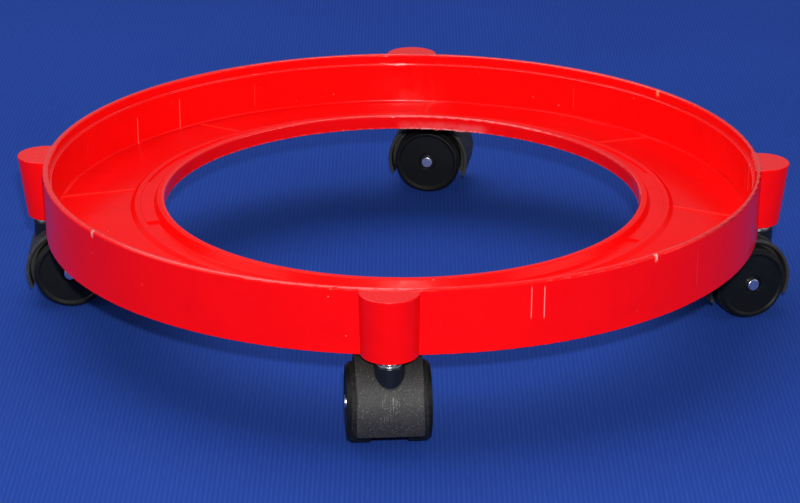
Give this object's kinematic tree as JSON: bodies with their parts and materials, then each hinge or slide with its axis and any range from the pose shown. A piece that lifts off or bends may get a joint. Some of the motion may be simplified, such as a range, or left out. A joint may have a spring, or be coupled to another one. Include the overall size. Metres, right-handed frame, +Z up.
{
  "type": "drum dolly",
  "caption": "Round moulded plastic drum tray with a raised wall and a large hole in its floor, carried on twin-wheel swivel casters in sockets outside the wall.",
  "frame": {"origin": "on the ground under the middle of the tray", "axes": "+Z up, -Y towards the front caster, +X to the right"},
  "size_m": [0.5292, 0.5351, 0.1043],
  "materials": {
    "tray_plastic": "semi-gloss moulded polypropylene with scuffs",
    "hood_plastic": "fine spark-eroded texture",
    "wheel_plastic": "satin moulded nylon",
    "plated_steel": "bright zinc plate",
    "spring_steel": "oiled spring steel"
  },
  "bodies": {
    "tray": {"tray": "tray_plastic", "front_stem": "plated_steel", "front_grip_ring": "spring_steel", "front_retaining_ring": "spring_steel", "right_stem": "plated_steel", "right_grip_ring": "spring_steel", "right_retaining_ring": "spring_steel", "back_stem": "plated_steel", "back_grip_ring": "spring_steel", "back_retaining_ring": "spring_steel", "left_stem": "plated_steel", "left_grip_ring": "spring_steel", "left_retaining_ring": "spring_steel"},
    "front_caster": {"front_hood": "hood_plastic", "front_washer": "plated_steel", "front_axle": "plated_steel"},
    "front_wheel_a_body": {"front_wheel_a": "wheel_plastic"},
    "front_wheel_b_body": {"front_wheel_b": "wheel_plastic"},
    "right_caster": {"right_hood": "hood_plastic", "right_washer": "plated_steel", "right_axle": "plated_steel"},
    "right_wheel_a_body": {"right_wheel_a": "wheel_plastic"},
    "right_wheel_b_body": {"right_wheel_b": "wheel_plastic"},
    "back_caster": {"back_hood": "hood_plastic", "back_washer": "plated_steel", "back_axle": "plated_steel"},
    "back_wheel_a_body": {"back_wheel_a": "wheel_plastic"},
    "back_wheel_b_body": {"back_wheel_b": "wheel_plastic"},
    "left_caster": {"left_hood": "hood_plastic", "left_washer": "plated_steel", "left_axle": "plated_steel"},
    "left_wheel_a_body": {"left_wheel_a": "wheel_plastic"},
    "left_wheel_b_body": {"left_wheel_b": "wheel_plastic"}
  },
  "joints": [
    {"name": "front_swivel", "type": "hinge", "parent": "tray", "child": "front_caster", "pos_m": [-0.00748, -0.24489, 0.045], "axis": [0, 0, 1], "continuous": true},
    {"name": "front_wheel_a_spin", "type": "hinge", "parent": "front_caster", "child": "front_wheel_a_body", "pos_m": [-0.00856, -0.22942, 0.025], "axis": [-0.9976, -0.0698, 0], "continuous": true},
    {"name": "front_wheel_b_spin", "type": "hinge", "parent": "front_caster", "child": "front_wheel_b_body", "pos_m": [-0.00856, -0.22942, 0.025], "axis": [-0.9976, -0.0698, 0], "continuous": true},
    {"name": "right_swivel", "type": "hinge", "parent": "tray", "child": "right_caster", "pos_m": [0.24489, -0.00748, 0.045], "axis": [0, 0, 1], "continuous": true},
    {"name": "right_wheel_a_spin", "type": "hinge", "parent": "right_caster", "child": "right_wheel_a_body", "pos_m": [0.23032, -0.01278, 0.025], "axis": [0.342, -0.9397, 0], "continuous": true},
    {"name": "right_wheel_b_spin", "type": "hinge", "parent": "right_caster", "child": "right_wheel_b_body", "pos_m": [0.23032, -0.01278, 0.025], "axis": [0.342, -0.9397, 0], "continuous": true},
    {"name": "back_swivel", "type": "hinge", "parent": "tray", "child": "back_caster", "pos_m": [0.00748, 0.24489, 0.045], "axis": [0, 0, 1], "continuous": true},
    {"name": "back_wheel_a_spin", "type": "hinge", "parent": "back_caster", "child": "back_wheel_a_body", "pos_m": [0.02283, 0.24273, 0.025], "axis": [0.1392, 0.9903, 0], "continuous": true},
    {"name": "back_wheel_b_spin", "type": "hinge", "parent": "back_caster", "child": "back_wheel_b_body", "pos_m": [0.02283, 0.24273, 0.025], "axis": [0.1392, 0.9903, 0], "continuous": true},
    {"name": "left_swivel", "type": "hinge", "parent": "tray", "child": "left_caster", "pos_m": [-0.24489, 0.00748, 0.045], "axis": [0, 0, 1], "continuous": true},
    {"name": "left_wheel_a_spin", "type": "hinge", "parent": "left_caster", "child": "left_wheel_a_body", "pos_m": [-0.22941, 0.00829, 0.025], "axis": [-0.0523, 0.9986, 0], "continuous": true},
    {"name": "left_wheel_b_spin", "type": "hinge", "parent": "left_caster", "child": "left_wheel_b_body", "pos_m": [-0.22941, 0.00829, 0.025], "axis": [-0.0523, 0.9986, 0], "continuous": true}
  ]
}
